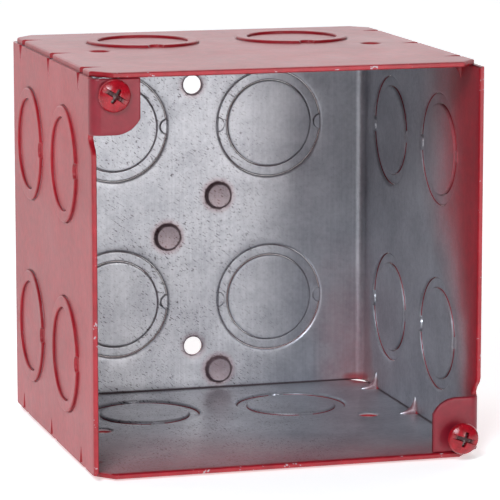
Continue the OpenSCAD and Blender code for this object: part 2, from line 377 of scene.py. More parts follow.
def grid_quads(index: np.ndarray) -> np.ndarray:
    """The quads of a grid of vertex numbers, anticlockwise where the first axis runs right."""
    return np.stack([index[:-1, :-1], index[1:, :-1], index[1:, 1:], index[:-1, 1:]], -1).reshape(-1, 4)


def thicken(points: np.ndarray, faces: np.ndarray, place: Placer) -> Shell:
    """Closes a flat net into a shell: an inner skin, an outer skin and a strip along every free edge.

    A free edge is one that a single face uses. The outer skin keeps the net's winding if that points
    away from the inner one, and both are turned round if not.

    Args:
        points: The net's points, n by 2.
        faces: Triangles or quads of it, anticlockwise.
        place: Maps points and a skin value, 0 or 1, to positions.

    Returns:
        The shell.
    """
    inner, outer = place(points, 0.0), place(points, 1.0)
    n = len(points)
    loop = np.stack([faces, np.roll(faces, -1, 1)], -1).reshape(-1, 2)
    key = np.sort(loop, 1)
    _, index, count = np.unique(key, axis=0, return_index=True, return_counts=True)
    free = loop[index[count == 1]]
    a, b, c = (outer[faces[:, k]] for k in range(3))
    facing = np.einsum("ij,ij->i", np.cross(b - a, c - a), a - inner[faces[:, 0]]).sum()
    skins = [faces[:, ::-1], faces + n, np.column_stack([free, free[:, ::-1] + n])]
    if facing < 0:
        skins = [f[:, ::-1] for f in skins]
    return Shell(np.vstack([inner, outer]), skins, np.repeat([0.0, 1.0], n))


def swept(rings: np.ndarray, skin: np.ndarray, closed: bool) -> Shell:
    """Closes a stack of rings into a shell.

    Args:
        rings: Positions, rings by points round each ring by 3.
        skin: The skin value of each ring.
        closed: True if the last ring meets the first, False if each end closes on a pole.

    Returns:
        The shell, with the poles at the mean of the end rings.
    """
    m, n, _ = rings.shape
    index = np.arange(m * n).reshape(m, n)
    low = index if closed else index[:-1]
    high = np.roll(index, -1, 0) if closed else index[1:]
    quads = np.stack([low, np.roll(low, -1, 1), np.roll(high, -1, 1), high], -1).reshape(-1, 4)
    verts, values, faces = rings.reshape(-1, 3), np.repeat(skin, n), [quads]
    if not closed:
        poles = np.vstack([rings[0].mean(0), rings[-1].mean(0)])
        verts = np.vstack([verts, poles])
        values = np.concatenate([values, skin[[0, -1]]])
        start = np.column_stack([np.roll(index[0], -1), index[0], np.full(n, m * n)])
        end = np.column_stack([index[-1], np.roll(index[-1], -1), np.full(n, m * n + 1)])
        faces += [start, end]
    shell = Shell(verts, faces, values)
    a, b, c = (verts[quads[:, k]] for k in range(3))
    volume = np.einsum("ij,ij->i", a - verts.mean(0), np.cross(b - a, c - a)).sum()
    if volume < 0:
        shell.faces = [f[:, ::-1] for f in shell.faces]
    return shell


# ---- shader maths ---------------------------------------------------------

Number = "Wire | float"


class Wire:
    """An output socket whose arithmetic is written as Python and adds Math nodes."""

    def __init__(self, bench: "Bench", socket: bpy.types.NodeSocket) -> None:
        """Keeps the socket and the bench it belongs to."""
        self.bench, self.socket = bench, socket

    def _math(self, operation: str, *values: Number) -> "Wire":
        """Adds a Math node over these values."""
        return self.bench.add("ShaderNodeMath", {"operation": operation}, dict(enumerate(values)))

    def __add__(self, other: Number) -> "Wire":
        """self + other."""
        return self._math("ADD", self, other)

    __radd__ = __add__

    def __mul__(self, other: Number) -> "Wire":
        """self * other."""
        return self._math("MULTIPLY", self, other)

    __rmul__ = __mul__

    def __sub__(self, other: Number) -> "Wire":
        """self - other."""
        return self._math("SUBTRACT", self, other)

    def __rsub__(self, other: Number) -> "Wire":
        """other - self."""
        return self._math("SUBTRACT", other, self)

    def most(self, other: Number) -> "Wire":
        """The larger of the two."""
        return self._math("MAXIMUM", self, other)

    def least(self, other: Number) -> "Wire":
        """The smaller of the two."""
        return self._math("MINIMUM", self, other)

    def size(self) -> "Wire":
        """The value without its sign."""
        return self._math("ABSOLUTE", self)

    def rise(self, low: float, high: float, top: float = 1.0, bottom: float = 0.0) -> "Wire":
        """Rises smoothly from bottom at low to top at high, and stays there.

        Args:
            low: Where the rise starts.
            high: Where it ends; it may be below low for a fall.
            top: The value at high.
            bottom: The value at low.

        Returns:
            The mapped value.
        """
        settings = {"interpolation_type": "SMOOTHSTEP"}
        values = {"Value": self, "From Min": low, "From Max": high, "To Min": bottom, "To Max": top}
        return self.bench.add("ShaderNodeMapRange", settings, values)


class Bench:
    """A material or world under construction."""

    def __init__(self, owner: bpy.types.Material | bpy.types.World, place: str = "Object") -> None:
        """Empties the owner's node tree and reads the place, the object's own coordinates.

        Args:
            owner: The material or world to build.
            place: The texture coordinate that positions are read from.
        """
        owner.use_nodes = True
        self.owner, self.tree = owner, owner.node_tree
        self.tree.nodes.clear()
        self.where = self.add("ShaderNodeTexCoord", out=place)
        self.x, self.y, self.z = (
            self.add("ShaderNodeSeparateXYZ", values={0: self.where}, out=axis) for axis in "XYZ"
        )

    def add(
        self,
        kind: str,
        settings: dict[str, object] | None = None,
        values: dict[int | str, object] | None = None,
        out: int | str = 0,
    ) -> Wire:
        """Adds one node: its settings first, then the values or links of its sockets.

        Args:
            kind: The node's type.
            settings: Its properties, such as a Math node's operation.
            values: Numbers, colours or wires for its input sockets, by name or index.
            out: The output wanted.

        Returns:
            That output.
        """
        node = self.tree.nodes.new(kind)
        for key, value in (settings or {}).items():
            setattr(node, key, value)
        for key, value in (values or {}).items():
            if isinstance(value, Wire):
                self.tree.links.new(value.socket, node.inputs[key])
            else:
                node.inputs[key].default_value = value
        return Wire(self, node.outputs[out])

    def noise(self, scale: float, detail: float = 2.0, where: Wire | None = None) -> Wire:
        """Soft noise, 0 to 1, with scale in ripples per metre."""
        values = {"Vector": where or self.where, "Scale": scale, "Detail": detail, "Roughness": 0.55}
        return self.add("ShaderNodeTexNoise", values=values)

    def skin(self) -> Wire:
        """The mesh's own skin value."""
        return self.add("ShaderNodeAttribute", {"attribute_name": "skin"}, out="Fac")

    def stretched(
        self, turn: tuple[float, float, float], scale: tuple[float, float, float]
    ) -> Wire:
        """The object's coordinates turned, then scaled along each axis, for streaks and lines."""
        turned = self.add("ShaderNodeMapping", values={"Vector": self.where, "Rotation": turn})
        return self.add("ShaderNodeVectorMath", {"operation": "MULTIPLY"}, {0: turned, 1: scale})

    def blend(self, mask: Number, first: object, second: object) -> Wire:
        """A colour from first to second as mask goes from 0 to 1."""
        return self.add("ShaderNodeMix", {"data_type": "RGBA"}, {0: mask, 6: first, 7: second}, out=2)

    def close(self, kind: str, last: Wire) -> None:
        """Ends the tree with an output node of that kind."""
        end = self.tree.nodes.new(kind)
        self.tree.links.new(last.socket, end.inputs["Surface"])

    def finish(self, values: dict[str, object], height: Wire, depth: float) -> bpy.types.Material:
        """Closes the material with a Principled shader and a bump.

        Args:
            values: The shader's sockets.
            height: The bump's height, 0 to 1.
            depth: The height that 1 stands for, in metres.

        Returns:
            The material.
        """
        bump = self.add("ShaderNodeBump", values={"Strength": 1.0, "Distance": depth, "Height": height})
        shader = self.add("ShaderNodeBsdfPrincipled", values={**values, "Normal": bump})
        self.close("ShaderNodeOutputMaterial", shader)
        return self.owner


def paint_colour(red: float, green: float, blue: float) -> tuple[float, float, float, float]:
    """A display colour, 0 to 255, as the shader's linear one.

    Args:
        red: Its red, 0 to 255.
        green: Its green, 0 to 255.
        blue: Its blue, 0 to 255.

    Returns:
        Linear red, green and blue, with a full alpha.
    """
    shares = (red / 255, green / 255, blue / 255)
    linear = [((c + 0.055) / 1.055) ** 2.4 if c > 10 / 255 else c / 12.92 for c in shares]
    return (*linear, 1.0)


def new_finish(name: str) -> Bench:
    """A bench for a new material of that name."""
    return Bench(bpy.data.materials.new(name))


def largest(masks: list[Wire]) -> Wire:
    """The largest of some masks at each point.

    Args:
        masks: One mask or more.

    Returns:
        Their maximum.
    """
    top = masks[0]
    for mask in masks[1:]:
        top = top.most(mask)
    return top


# The tabs' red is the walls' red darkened, as painted shade on their front faces.
TAB_SHADED_DEEP, TAB_SHADED_LIGHT = paint_colour(118, 10, 30), paint_colour(134, 16, 36)


# ---- finishes -------------------------------------------------------------


@dataclass(frozen=True)
class RedSpray:
    """Satin red paint with a faint orange peel and slightly darker and lighter passes."""

    deep: tuple[float, ...] = paint_colour(138, 10, 26)
    light: tuple[float, ...] = paint_colour(164, 20, 36)
    rough: float = 0.40

    def colour(self, bench: Bench) -> Wire:
        """The paint's colour: broad passes and a fine mottle."""
        passes = bench.noise(28, 3) * 0.5 + bench.noise(420, 3) * 0.5
        return bench.blend(passes.rise(0.32, 0.68), self.deep, self.light)

    def roughness(self, bench: Bench) -> Wire:
        """Gloss that drifts a little over each panel."""
        return self.rough - 0.06 + bench.noise(60, 3) * 0.12

    def height(self, bench: Bench) -> Wire:
        """Orange peel with a fine grit."""
        return bench.noise(260, 3) * 0.45 + bench.noise(950, 2) * 0.4 + bench.noise(2600, 1) * 0.15


@dataclass(frozen=True)
class BareZinc:
    """Zinc-coated steel straight off the coil: soft spangle, dark flecks and fine rolling lines."""

    dull: tuple[float, ...] = paint_colour(158, 159, 166)
    bright: tuple[float, ...] = paint_colour(196, 197, 202)
    fleck: tuple[float, ...] = paint_colour(70, 62, 66)
    rough: float = 0.40
    metal: float = 0.7

    def flecks(self, bench: Bench) -> Wire:
        """Short dark dashes lying down to the right, in loose drifts.

        Args:
            bench: The material's bench.

        Returns:
            How strong the flecks are at each point.
        """
        long = bench.noise(1.0, 1, bench.stretched((0.0, math.radians(-36), 0.0), (620, 620, 2300)))
        short = bench.noise(1.0, 1, bench.stretched((0.0, math.radians(-30), 0.0), (1300, 1300, 3100)))
        drifts = bench.noise(50, 2).rise(0.30, 0.60, 1.0, 0.25)
        return long.rise(0.615, 0.68).most(short.rise(0.63, 0.71) * 0.85) * drifts

    def lines(self, bench: Bench) -> Wire:
        """Fine rolling lines that run up the sheet."""
        return bench.noise(1.0, 3, bench.stretched((0.0, 0.0, 0.0), (1500, 1500, 26)))

    def colour(self, bench: Bench, share: Wire) -> Wire:
        """The metal's colour: cloudy spangle, rolling lines, and flecks by their share.

        Args:
            bench: The material's bench.
            share: How strongly the flecks show.

        Returns:
            The metal's colour.
        """
        cloud = bench.noise(75, 4) * 0.5 + bench.noise(620, 3) * 0.3 + self.lines(bench) * 0.2
        metal = bench.blend(cloud.rise(0.28, 0.72), self.dull, self.bright)
        return bench.blend(self.flecks(bench) * share * 0.85, metal, self.fleck)

    def roughness(self, bench: Bench) -> Wire:
        """Gloss broken by the spangle and the rolling lines."""
        return self.rough - 0.1 + bench.noise(180, 4) * 0.12 + self.lines(bench) * 0.1

    def height(self, bench: Bench) -> Wire:
        """A faint unevenness, the rolling lines and a soft grain."""
        return bench.noise(46, 3) * 0.5 + self.lines(bench) * 0.25 + bench.noise(1500, 2) * 0.25


@dataclass(frozen=True)
class Spot:
    """A boss or hole in the back that paint crept round and that gets a ring of painted shade: its
    centre and radius in metres.
    """

    x: float
    z: float
    r: float
    boss: bool


class Axis(Enum):
    """An axis along which mist can fall short."""

    ACROSS = "x"
    UP = "z"


@dataclass(frozen=True)
class Lean:
    """Where along an axis the mist starts to fall short, where that ends, and by how many times."""

    axis: Axis
    start: float
    end: float
    times: float


@dataclass(frozen=True)
class SprayedSheet:
    """Zinc sheet sprayed red from outside, with mist that drifts in over the front of its inner face.

    Past full the mist thins out until reach, in metres in from the rim. inner is half the clear width,
    the depth and the middle height, and crimps are the crimps' places along the depth.
    """

    name: str
    full: float
    reach: float
    inner: tuple[float, float, float]
    crimps: tuple[float, ...]
    most: float = 1.0
    lean: Lean | None = None
    spots: tuple[Spot, ...] = ()
    paint: RedSpray = RedSpray()
    zinc: BareZinc = BareZinc()
    # The colour that the painted shade at the seams, crimps and spot rims darkens towards.
    shade_tint: tuple[float, ...] = paint_colour(66, 28, 36)

    def outside(self, bench: Bench) -> Wire:
        """1 on the outer skin and 0 on the inner one."""
        return bench.skin().rise(0.34, 0.50)

    def mist(self, bench: Bench) -> Wire:
        """The mist inside: a fall from the rim, broken into drifts and fine specks.

        Args:
            bench: The material's bench.

        Returns:
            How much of the surface the mist covers.
        """
        drift = bench.noise(22, 3) - 0.5
        inward = bench.y + self.inner[1] + drift * 0.026
        if self.lean:
            along = getattr(bench, self.lean.axis.value)
            inward = inward * along.rise(self.lean.start, self.lean.end, self.lean.times, 1.0)
        mist = inward.rise(self.reach, self.full, self.most)
        speck = bench.noise(1900, 2) - 0.5
        rim = (bench.y + self.inner[1]).rise(0.0024, 0.0012)
        return (mist + speck * mist * (1 - mist) * 1.6).most(rim)

    def spot_rings(self, bench: Bench) -> tuple[list[Wire], list[Wire]]:
        """Where paint crept round the spots, and painted shade at their rims.

        Args:
            bench: The material's bench.

        Returns:
            The tint over each boss and round each hole, and the painted shade: a ring at each rim and a
            fainter wash over each boss's top.
        """
        tints, shade_rims = [], []
        flat = bench.add("ShaderNodeCombineXYZ", values={0: bench.x, 2: bench.z})
        ragged = (bench.noise(600, 2) - 0.5) * 0.0013
        for spot in self.spots:
            values = {0: flat, 1: (spot.x, 0.0, spot.z)}
            away = bench.add("ShaderNodeVectorMath", {"operation": "DISTANCE"}, values, "Value")
            away = away + ragged
            tints.append(away.rise(spot.r + 0.0022, spot.r - 0.0002, 0.24))
            # Painted shade: a dark ring at the rim of each boss and hole, fainter over a boss's top.
            middle = 0.22 if spot.boss else 0.0
            inner = away.rise(spot.r - 0.0012, spot.r - 0.0004, 0.85, middle)
            shade_rims.append(away.rise(spot.r + 0.0005, spot.r - 0.0002) * inner)
        return tints, shade_rims

    def seams(self, bench: Bench) -> tuple[Wire, Wire]:
        """Where the wrap and the plates meet: a line of painted shade along each seam and round each
        crimp.

        Args:
            bench: The material's bench.

        Returns:
            The paint that gathered at the crimps, and the dark lines.
        """
        half, middle = self.inner[0], self.inner[2]
        high = (bench.z - middle).size()
        side = bench.x.size()
        line_side, line_high = (level.rise(half - 0.0007, half - 0.0002) for level in (side, high))
        line_back = bench.y.rise(-0.0023, -0.0018)
        # Painted shade: a dark line in the inner corners where the wrap meets the plates.
        seam = line_high * line_side.most(line_back)
        near = [(bench.y - place).size() for place in self.crimps]
        ragged = (bench.noise(420, 3) - 0.5) * 0.004
        closest = near[0].least(near[1]).least(near[2]) + ragged
        close = side.rise(half - 0.005, half - 0.0025) * high.rise(half - 0.005, half - 0.0025)
        crimp = closest.rise(0.0030, 0.0008, 0.55) * close
        # Painted shade round each crimp.
        seam = seam.most(closest.rise(0.0020, 0.0010, 0.5) * close)
        return crimp, seam

    def corner_paint(self, bench: Bench) -> Wire:
        """Paint in the low right rear corner: a thin smear down it and a thicker pool at its foot.

        Args:
            bench: The material's bench.

        Returns:
            How much of the surface it covers.
        """
        drift = bench.noise(60, 3) - 0.5
        smear = (bench.z + drift * 0.03).rise(-0.004, -0.050)
        smear = smear * (bench.x - drift * 0.016).rise(0.038, 0.053)
        smear = smear * (bench.y + drift * 0.02).rise(-0.016, -0.006) * 0.42
        pool = (bench.z - drift * 0.006).rise(-0.0525, -0.0565)
        pool = pool * (bench.x - drift * 0.01).rise(0.048, 0.053)
        return smear.most(pool * bench.y.rise(-0.012, -0.006) * 0.85)

    def wear_marks(self, bench: Bench) -> Wire:
        """Where bare metal shows through: faint rubs everywhere, and chips on the front rim.

        Args:
            bench: The material's bench.

        Returns:
            How bare the surface is at each point.
        """
        worn = (bench.noise(130, 3) * 0.5 + bench.noise(1300, 2) * 0.5).rise(0.70, 0.76) * 0.25
        chips = (bench.noise(210, 2) * 0.45 + bench.noise(900, 2) * 0.55).rise(0.61, 0.64)
        return worn.most(chips * (bench.y + self.inner[1]).rise(0.0006, 0.0003) * 0.75)

    def make(self) -> bpy.types.Material:
        """Builds the material.

        Returns:
            The finished material.
        """
        bench = new_finish(self.name)
        outside = self.outside(bench)
        tints, shade_rims = self.spot_rings(bench)
        crimp, seam = self.seams(bench)
        masks = [outside, self.mist(bench), *tints, crimp, self.corner_paint(bench)]
        cover = largest(masks).least(1.0)
        # Painted shade: the seams, the crimps and the spot rims darken towards the shade colour, on the
        # inner face only.
        dark = largest([seam * 0.85, *shade_rims]) * (1 - outside)
        share = bench.x.rise(0.035, 0.008, 1.0, 0.15)
        zinc, paint = self.zinc.colour(bench, share), self.paint.colour(bench)
        colour = bench.blend(cover * (1 - self.wear_marks(bench)), zinc, paint)
        colour = bench.blend(dark * 0.9, colour, self.shade_tint)
        rough = self.zinc.roughness(bench) * (1 - cover) + self.paint.roughness(bench) * cover
        height = self.zinc.height(bench) * (1 - cover) + self.paint.height(bench) * cover
        metallic = (1 - cover.rise(0.0, 0.7)) * (1 - dark) * self.zinc.metal
        values = {"Base Color": colour, "Metallic": metallic, "Roughness": rough, "IOR": 1.5}
        return bench.finish(values, height, 0.00009)


@dataclass(frozen=True)
class ScrewSpray:
    """Thicker, glossier red paint on a screw head, with painted shade down in its slot and cross."""

    name: str
    # The colour of the painted shade in the slot and cross.
    pool: tuple[float, ...] = paint_colour(64, 4, 12)
    deep: tuple[float, ...] = paint_colour(128, 8, 22)
    light: tuple[float, ...] = paint_colour(162, 16, 32)

    def make(self) -> bpy.types.Material:
        """Builds the material.

        Returns:
            The finished material.
        """
        bench = new_finish(self.name)
        mottle = bench.noise(500, 3) * 0.7 + bench.noise(2200, 2) * 0.3
        colour = bench.blend(mottle.rise(0.35, 0.65), self.deep, self.light)
        # Painted shade: the skin value falls to 0 in the slot and cross, which darkens them.
        colour = bench.blend(bench.skin(), self.pool, colour)
        height = bench.noise(900, 3) * 0.7 + bench.noise(3600, 1) * 0.3
        values = {"Base Color": colour, "Roughness": 0.17 + bench.noise(700, 2) * 0.16, "IOR": 1.5}
        return bench.finish(values, height, 0.00007)


@dataclass(frozen=True)
class ThreadSteel:
    """Plated thread, dusted red where it stands out of its tab."""

    name: str

    def make(self) -> bpy.types.Material:
        """Builds the material.

        Returns:
            The finished material.
        """
        bench = new_finish(self.name)
        dust = (bench.y + (bench.noise(900, 3) - 0.5) * 0.004).rise(-0.1095, -0.1125, 0.85)
        grain = bench.noise(1300, 3).rise(0.35, 0.65)
        metal = bench.blend(grain, paint_colour(120, 112, 104), paint_colour(176, 170, 160))
        colour = bench.blend(dust, metal, paint_colour(140, 20, 34))
        values = {"Base Color": colour, "Metallic": (1 - dust) * 0.9, "Roughness": 0.3 + dust * 0.15}
        return bench.finish(values, bench.noise(2000, 3), 0.00004)


# ---- the box --------------------------------------------------------------


@dataclass
class FoldedSheet:
    """The wrap: back, rear bends, side walls and the two tabs, all folded from one sheet."""

    box: BoxSizes
    tab: TabSizes
    knockout: KnockoutSizes
    bosses: tuple[tuple[float, float], ...] = ((8.5, 6.5), (-8.5, -6.5), (8.5, -51.0))
    boss_r: float = 4.5
    boss_h: float = 1.6
    boss_slope: float = 0.9
    boss_dish: float = 0.3
    level: float = 28.7
    back_side: float = 25.8
    wall_rear: float = 29.3
    wall_gap: float = 47.0

    @property
    def back_spots(self) -> list[tuple[float, float]]:
        """The back's knockouts: upper left, upper right, lower left and lower right."""
        return [(x, z) for z in (self.level, -self.level) for x in (-self.back_side, self.back_side)]

    @property
    def tab_top(self) -> float:
        """Upper end of the upper tab, from the box's middle."""
        return self.box.half_z - self.box.sheet - self.tab.end_gap

    @property
    def tab_low(self) -> float:
        """Lower end of the upper tab, from the box's middle."""
        return self.tab_top - self.tab.height

    @property
    def tab_y(self) -> float:
        """The tab's front face."""
        return self.box.front_y + self.tab.setback

    def opposite(self, shell: Shell) -> Shell:
        """The same shell half a turn round the box's front to back axis."""
        turn = np.diag([-1.0, 1.0, -1.0])
        return shell.moved(turn, (0.0, 0.0, 2 * self.box.middle_z))

    def crimp_guides(
        self, edge: float, tip: float, places: list[float], reach: float
    ) -> list[np.ndarray]:
        """Lines that run down each crimp to its point, evenly turned round its cone.

        Args:
            edge: The edge's coordinate.
            tip: The coordinate where a crimp comes to its point.
            places: The crimps' places along the edge.
            reach: Half a crimp's width at the edge.

        Returns:
            Polylines as (along the seam, towards the edge).
        """
        steps = np.linspace(0, 1, 9)[:, None]
        ends = [(p, reach * math.sin(math.radians(a))) for p in places for a in range(-90, 91, 30)]
        return [np.array([[p, tip]]) + steps * np.array([[across, edge - tip]]) for p, across in ends]

    def crimp_lift(
        self, along: np.ndarray, towards: np.ndarray, places: list[float], tip: float
    ) -> np.ndarray:
        """How far a crimp pushes the sheet in: half a cone that grows from its tip.

        The depth is sqrt(r^2 - d^2), where d is the distance from the crimp's line and
        r = crimp_r times (how far past the tip) / crimp_len.

        Args:
            along: Places along the seam.
            towards: Places towards the seam.
            places: The crimps' places along the seam.
            tip: Where a crimp comes to its point.

        Returns:
            The lift at each place.
        """
        box = self.box
        r = np.clip((towards - tip) / box.crimp_len, 0, 1.1) * box.crimp_r
        near = np.abs(along[:, None] - np.array(places)[None, :]).min(1)
        return np.sqrt(np.clip(r**2 - near**2, 0, None))

    def back_panel(self) -> Shell:
        """The flat back. A boss rises by boss_h along a smooth step over its last boss_slope of radius.

        Its top is dished by boss_dish, along a smooth step from 0.8 mm inside its rim to 0.5 mm
        from its middle.

        Returns:
            The shell, in millimetres.
        """
        box = self.box
        half_x, half_z = box.wall_x - box.back_bend, box.half_z - box.sheet
        drop = box.middle_z
        holes = [(x, z, self.knockout.outer_r, 144) for x, z in self.back_spots]
        holes += [(0.0, side * box.fixing_gap / 2 - drop, box.fixing_r, 40) for side in (-1, 1)]
        turn = np.linspace(0, 2 * math.pi, 45)
        spots = [(x, z - drop) for x, z in self.bosses]
        guides = [
            np.column_stack([x + r * np.cos(turn), z + r * np.sin(turn)])
            for x, z in spots
            for r in self.boss_r - np.array([0.0, 0.12, 0.27, 0.45, 0.63, 0.78, 0.9, 1.4, 2.6])
        ]
        plan = Plan((-half_x, -half_z), (half_x, half_z), holes, guides, "SN")

        def place(points: np.ndarray, skin: float) -> np.ndarray:
            """Lays the net in the back, pushed in at the bosses.

            Args:
                points: The net's points, n by 2.
                skin: 0 for the inner face, 1 for the outer one.

            Returns:
                Positions, n by 3.
            """
            away = np.min([np.hypot(points[:, 0] - x, points[:, 1] - z) for x, z in spots], 0)
            lift = self.boss_h * smooth_step(self.boss_r, self.boss_r - self.boss_slope, away)
            lift -= self.boss_dish * smooth_step(self.boss_r - 0.8, 0.5, away)
            rolled = plan.rolled(points, "" if skin else "SN")
            y = -box.sheet + skin * box.sheet - lift + (1 - 2 * skin) * rolled
            return np.column_stack([points[:, 0], y, points[:, 1] + drop])

        return thicken(*plan.fill(), place)

    def rear_bend(self) -> Shell:
        """The left rear bend, each skin a quarter circle of its own radius.

        The outer skin is one quarter from wall to back. The inner one runs straight up to a tighter
        quarter and straight on from it.

        Returns:
            The shell, in millimetres.
        """
        box = self.box
        half_z = box.half_z - box.sheet
        count, right = 25, math.pi / 2
        heights = np.linspace(-half_z, half_z, 30)
        index = np.arange(count * len(heights)).reshape(count, -1)
        faces = grid_quads(index)
        grid = np.stack(np.meshgrid(np.arange(count), heights, indexing="ij"), -1).reshape(-1, 2)
        middle = np.linspace(0.07, right - 0.07, count - 4)
        outer = np.concatenate([[0, 0.004], middle, [right - 0.004, right]])
        inner = np.concatenate([[0], np.linspace(0, right, count - 2), [right]])

        def place(points: np.ndarray, skin: float) -> np.ndarray:
            """Carries the net round the bend.

            Args:
                points: The net's points, as (station, height).
                skin: 0 for the inner face, 1 for the outer one.

            Returns:
                Positions, n by 3.
            """
            turn = outer if skin else inner
            r, inset = (box.back_bend, 0.0) if skin else (box.inner_bend, box.sheet)
            x = inset - box.wall_x + r * (1 - np.cos(turn))
            y = -inset - r * (1 - np.sin(turn))
            x[-1], y[0] = box.back_bend - box.wall_x, -box.back_bend
            station = points[:, 0].astype(int)
            return np.column_stack([x[station], y[station], points[:, 1] + box.middle_z])

        return thicken(grid, faces, place)

    def wall_front(self, heights: np.ndarray) -> np.ndarray:
        """How far the left wall's front edge sits back: a smooth step from the rim to the relief.

        Args:
            heights: Heights from the box's middle.

        Returns:
            The set-back at each height.
        """
        deep = self.tab.setback + self.tab.bend
        top = self.tab_low - self.tab.relief
        return deep * smooth_step(top - self.tab.slope, top, heights)

    def side_wall(self) -> Shell:
        """The left wall, with its front edge drawn back by wall_front over the first 10 mm.

        Returns:
            The shell, in millimetres.
        """
        box = self.box
        length, half_z = box.depth - box.back_bend, box.half_z - box.sheet
        rows = [box.depth - self.wall_rear - self.wall_gap, box.depth - self.wall_rear]
        levels = (-self.level, self.level)
        holes = [(s, z, self.knockout.outer_r, 144) for s in rows for z in levels]
        places = [box.depth / 2 + c for c in box.crimps]
        tip = half_z - box.crimp_len
        up = self.crimp_guides(half_z, tip, places, box.crimp_r)
        guides = up + [g * np.array([[1, -1]]) for g in up]
        notch = np.linspace(self.tab_low - 10, self.tab_low, 26)
        guides.append(np.column_stack([np.zeros(26), notch]))
        guides.append(np.array([[0.0, self.tab_low], [6.0, self.tab_low]]))
        plan = Plan((0.0, -half_z), (length, half_z), holes, guides, "WSN")

        def place(points: np.ndarray, skin: float) -> np.ndarray:
            """Stands the net up as the left wall, pushed in at the crimps.

            Args:
                points: The net's points, as (distance from the rim, height).
                skin: 0 for the inner face, 1 for the outer one.

            Returns:
                Positions, n by 3.
            """
            s, z = points[:, 0], points[:, 1]
            lift = self.crimp_lift(s, np.abs(z), places, tip)
            pulled = np.sign(z) * lift * np.clip((np.abs(z) - tip) / box.crimp_len, 0, 1)
            back = self.wall_front(z)
            s = np.where(s < 10, back + s * (10 - back) / 10, s)
            by_tab = (z > self.tab_low) & (s < 8)
            rolled = plan.rolled(points, "W" if skin else "WSN") * np.where(by_tab, 0, 1)
            x = -box.inner_x - skin * box.sheet + lift - (1 - 2 * skin) * rolled
            return np.column_stack([x, box.front_y + s, z - pulled + box.middle_z])

        return thicken(*plan.fill(), place)

    def tab_sheet(self) -> Shell:
        """The upper left tab, unrolled as (distance from the wall, height), folded round its bend.

        Past the quarter bend the tab is flat. Its lower free corner follows a circle: the lower end
        rises by r - sqrt(r^2 - d^2), where d is the distance past the circle's centre.

        Returns:
            The shell, in millimetres.
        """
        box, tab = self.box, self.tab
        arc = tab.bend * math.pi / 2
        flat = tab.width - tab.bend
        screw = (arc + tab.screw_in - tab.bend, box.half_z - tab.screw_down)
        start = arc + flat - tab.corner + tab.trim
        band = screw[1] - tab.bore_r - 1.2
        lines = np.linspace(0, arc, 13)
        heights = np.linspace(self.tab_low, self.tab_top, 9)
        guides = [np.column_stack([np.full(9, s), heights]) for s in lines[1:]]
        free = np.linspace(start, arc + flat, 26)
        guides.append(np.column_stack([free, np.full(26, self.tab_low)]))
        hole = (*screw, tab.bore_r, 40)
        size = (0.0, self.tab_low), (arc + flat, self.tab_top)
        plan = Plan(*size, [hole], guides, "ESN", 1.5, 0.8, 0.45, 0.2)

        def place(points: np.ndarray, skin: float) -> np.ndarray:
            """Folds the net round the tab's bend and trims its lower free corner.

            Args:
                points: The net's points, as (distance from the wall, height).
                skin: 0 for the inner face, 1 for the outer one.

            Returns:
                Positions, n by 3.
            """
            s, z = points[:, 0], points[:, 1]
            past = np.clip(s - start, 0, tab.corner)
            rise = tab.corner - np.sqrt(tab.corner**2 - past**2)
            share = np.clip((band - z) / (band - self.tab_low), 0, 1)
            z = z + rise * share
            turn = np.clip(s / tab.bend, 0, math.pi / 2)
            rolled = (1 - 2 * skin) * plan.rolled(points, "ESN")
            across = tab.bend - box.sheet + skin * box.sheet + rolled
            x = -box.wall_x + tab.bend - across * np.cos(turn) + np.clip(s - arc, 0, None)
            y = self.tab_y + tab.bend - across * np.sin(turn)
            return np.column_stack([x, y, z + box.middle_z])

        return thicken(*plan.fill(), place).joined(self.collar())

    def collar(self) -> Shell:
        """The short tube drawn behind the tab: a rounded profile carried round its screw.

        Returns:
            The shell, in millimetres.
        """
        box, tab = self.box, self.tab
        low, high = tab.bore_r, tab.bore_r + tab.collar_wall
        r = np.array([low, high, high + 0.35, high, high, high - 0.3, low + 0.1, low, low])
        end = tab.collar_h
        h = np.array([0.0, -0.02, 0.0, 0.35, end - 0.3, end, end, end - 0.1, 0.4])
        turn = np.linspace(0, 2 * math.pi, 40, endpoint=False)
        x = -box.wall_x + tab.screw_in + r[:, None] * np.cos(turn)
        z = box.middle_z + box.half_z - tab.screw_down + r[:, None] * np.sin(turn)
        y = np.broadcast_to((self.tab_y + box.sheet + h)[:, None], x.shape)
        return swept(np.stack([x, y, z], -1), np.zeros(len(r)), True)

    def build(self, finishes: Finishes) -> None:
        """Makes and dresses the seven pieces.

        Args:
            finishes: The material of each coat.
        """
        wall, bend, tab = self.side_wall(), self.rear_bend(), self.tab_sheet()
        made = [
            ("back_panel", self.back_panel(), Coat.BACK),
            ("left_side_wall", wall, Coat.LEFT),
            ("right_side_wall", self.opposite(wall), Coat.RIGHT),
            ("left_rear_bend", bend, Coat.LEFT),
            ("right_rear_bend", self.opposite(bend), Coat.RIGHT),
            ("upper_left_tab", tab, Coat.TAB),
            ("lower_right_tab", self.opposite(tab), Coat.TAB),
        ]
        for node, shell, coat in made:
            wear(shell.piece(node + "_sheet"), Body.BOX, node, Slot.SHEET, finishes[coat])


